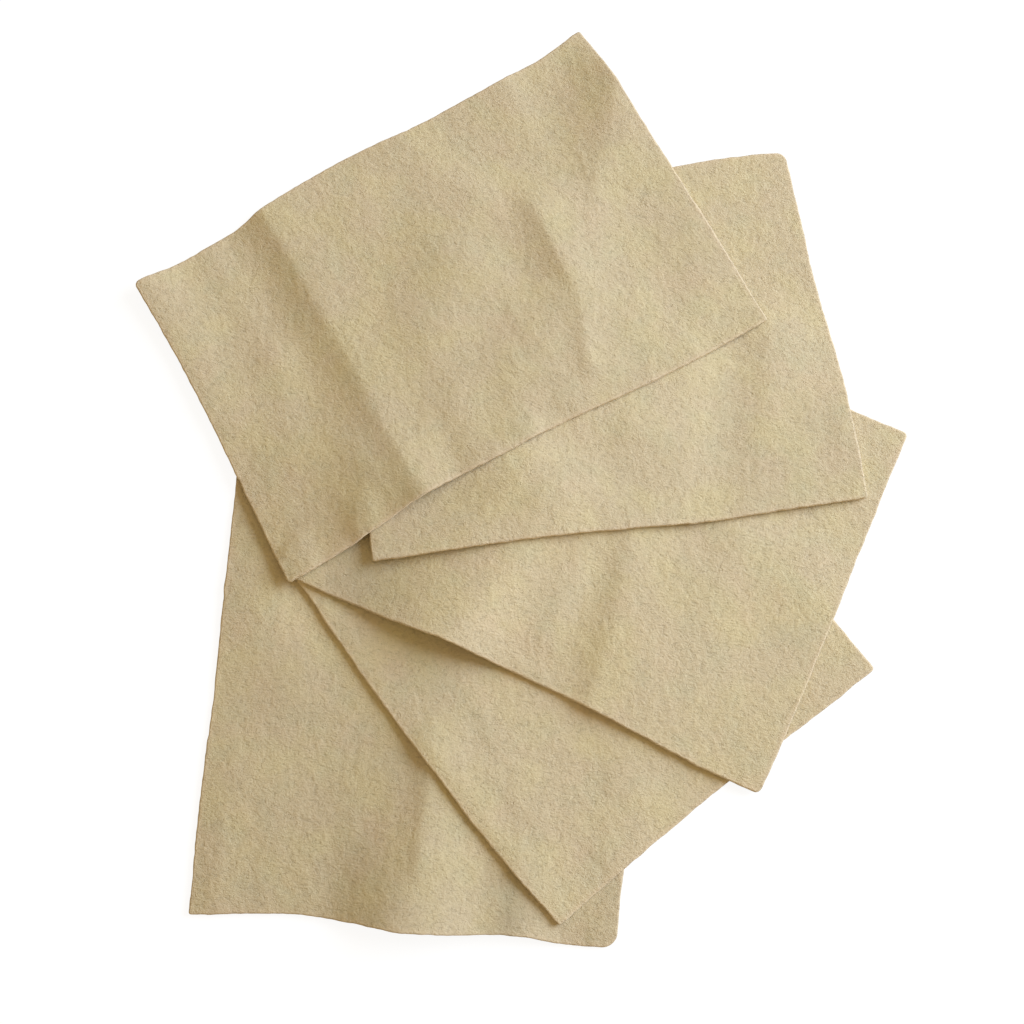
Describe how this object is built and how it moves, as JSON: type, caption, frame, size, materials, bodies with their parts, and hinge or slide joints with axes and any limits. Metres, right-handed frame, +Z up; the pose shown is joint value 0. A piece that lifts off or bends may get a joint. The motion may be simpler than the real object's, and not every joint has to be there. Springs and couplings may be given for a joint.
{
  "type": "chamois leather",
  "caption": "Thin rectangular chamois leather leaves laid loosely on each other in an open fan, each lifting off the one below, for wiping and polishing wet surfaces.",
  "frame": {"origin": "on the table, under the middle of the fan's bounding box", "axes": "+Z up from the table, +Y away from the viewer along the fan's longest extent, +X to the viewer's right"},
  "size_m": [0.228, 0.2766, 0.0082],
  "materials": {
    "chamois": "matte napped suede, pale straw, with cut fibrous edges"
  },
  "bodies": {
    "leaf_1": {"leaf_1_bottom": "chamois"},
    "leaf_2": {"leaf_2_lower": "chamois"},
    "leaf_3": {"leaf_3_middle": "chamois"},
    "leaf_4": {"leaf_4_upper": "chamois"},
    "leaf_5": {"leaf_5_top": "chamois"}
  },
  "joints": [
    {"name": "leaf_2_lift", "type": "slide", "parent": "leaf_1", "child": "leaf_2", "axis": [0, 0, 1], "range_m": [0, 0.03]},
    {"name": "leaf_3_lift", "type": "slide", "parent": "leaf_2", "child": "leaf_3", "axis": [0, 0, 1], "range_m": [0, 0.03]},
    {"name": "leaf_4_lift", "type": "slide", "parent": "leaf_3", "child": "leaf_4", "axis": [0, 0, 1], "range_m": [0, 0.03]},
    {"name": "leaf_5_lift", "type": "slide", "parent": "leaf_4", "child": "leaf_5", "axis": [0, 0, 1], "range_m": [0, 0.03]}
  ]
}
